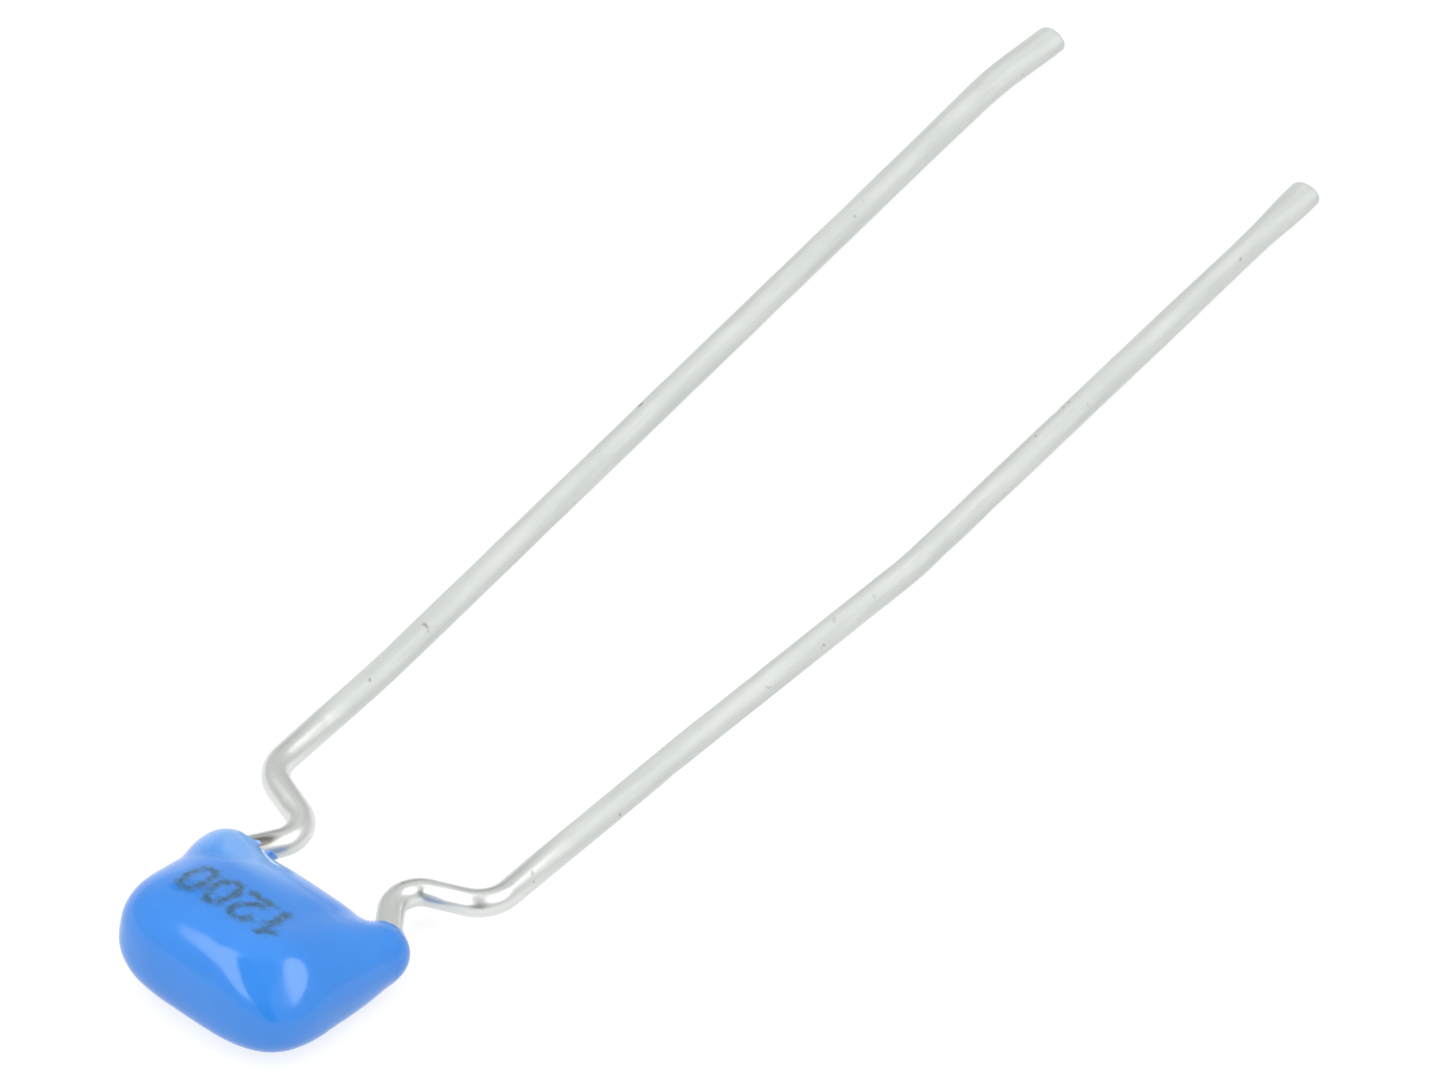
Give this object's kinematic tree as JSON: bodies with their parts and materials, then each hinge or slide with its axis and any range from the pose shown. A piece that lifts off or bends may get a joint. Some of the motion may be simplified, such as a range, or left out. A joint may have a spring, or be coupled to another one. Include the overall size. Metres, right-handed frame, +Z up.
{
  "type": "multilayer ceramic capacitor",
  "caption": "Small blue epoxy-dipped ceramic chip capacitor on two long tinned wires, each with an outward kink that sets the board pitch, lying loose.",
  "frame": {"origin": "on the surface it lies on, under the middle of its box", "axes": "+X across the body from the left wire to the right one, +Y along the wires to their cut ends, +Z up from the surface"},
  "size_m": [0.007, 0.0282, 0.0021],
  "materials": {
    "epoxy_coat": "glossy blue dipped epoxy",
    "tinned_wire": "satin tin plate on copper, bright at the bends",
    "ceramic": "matt sintered ceramic",
    "electrode": "fired thin metal film",
    "termination": "fired silver, matt",
    "solder": "smooth reflowed solder"
  },
  "bodies": {
    "root": {"coating": "epoxy_coat", "dielectric": "ceramic", "electrode_left_1": "electrode", "electrode_left_2": "electrode", "electrode_left_3": "electrode", "electrode_left_4": "electrode", "electrode_left_5": "electrode", "electrode_left_6": "electrode", "electrode_right_1": "electrode", "electrode_right_2": "electrode", "electrode_right_3": "electrode", "electrode_right_4": "electrode", "electrode_right_5": "electrode", "electrode_right_6": "electrode", "lead_left": "tinned_wire", "lead_right": "tinned_wire", "solder_left": "solder", "solder_right": "solder", "termination_left": "termination", "termination_right": "termination"}
  },
  "joints": []
}
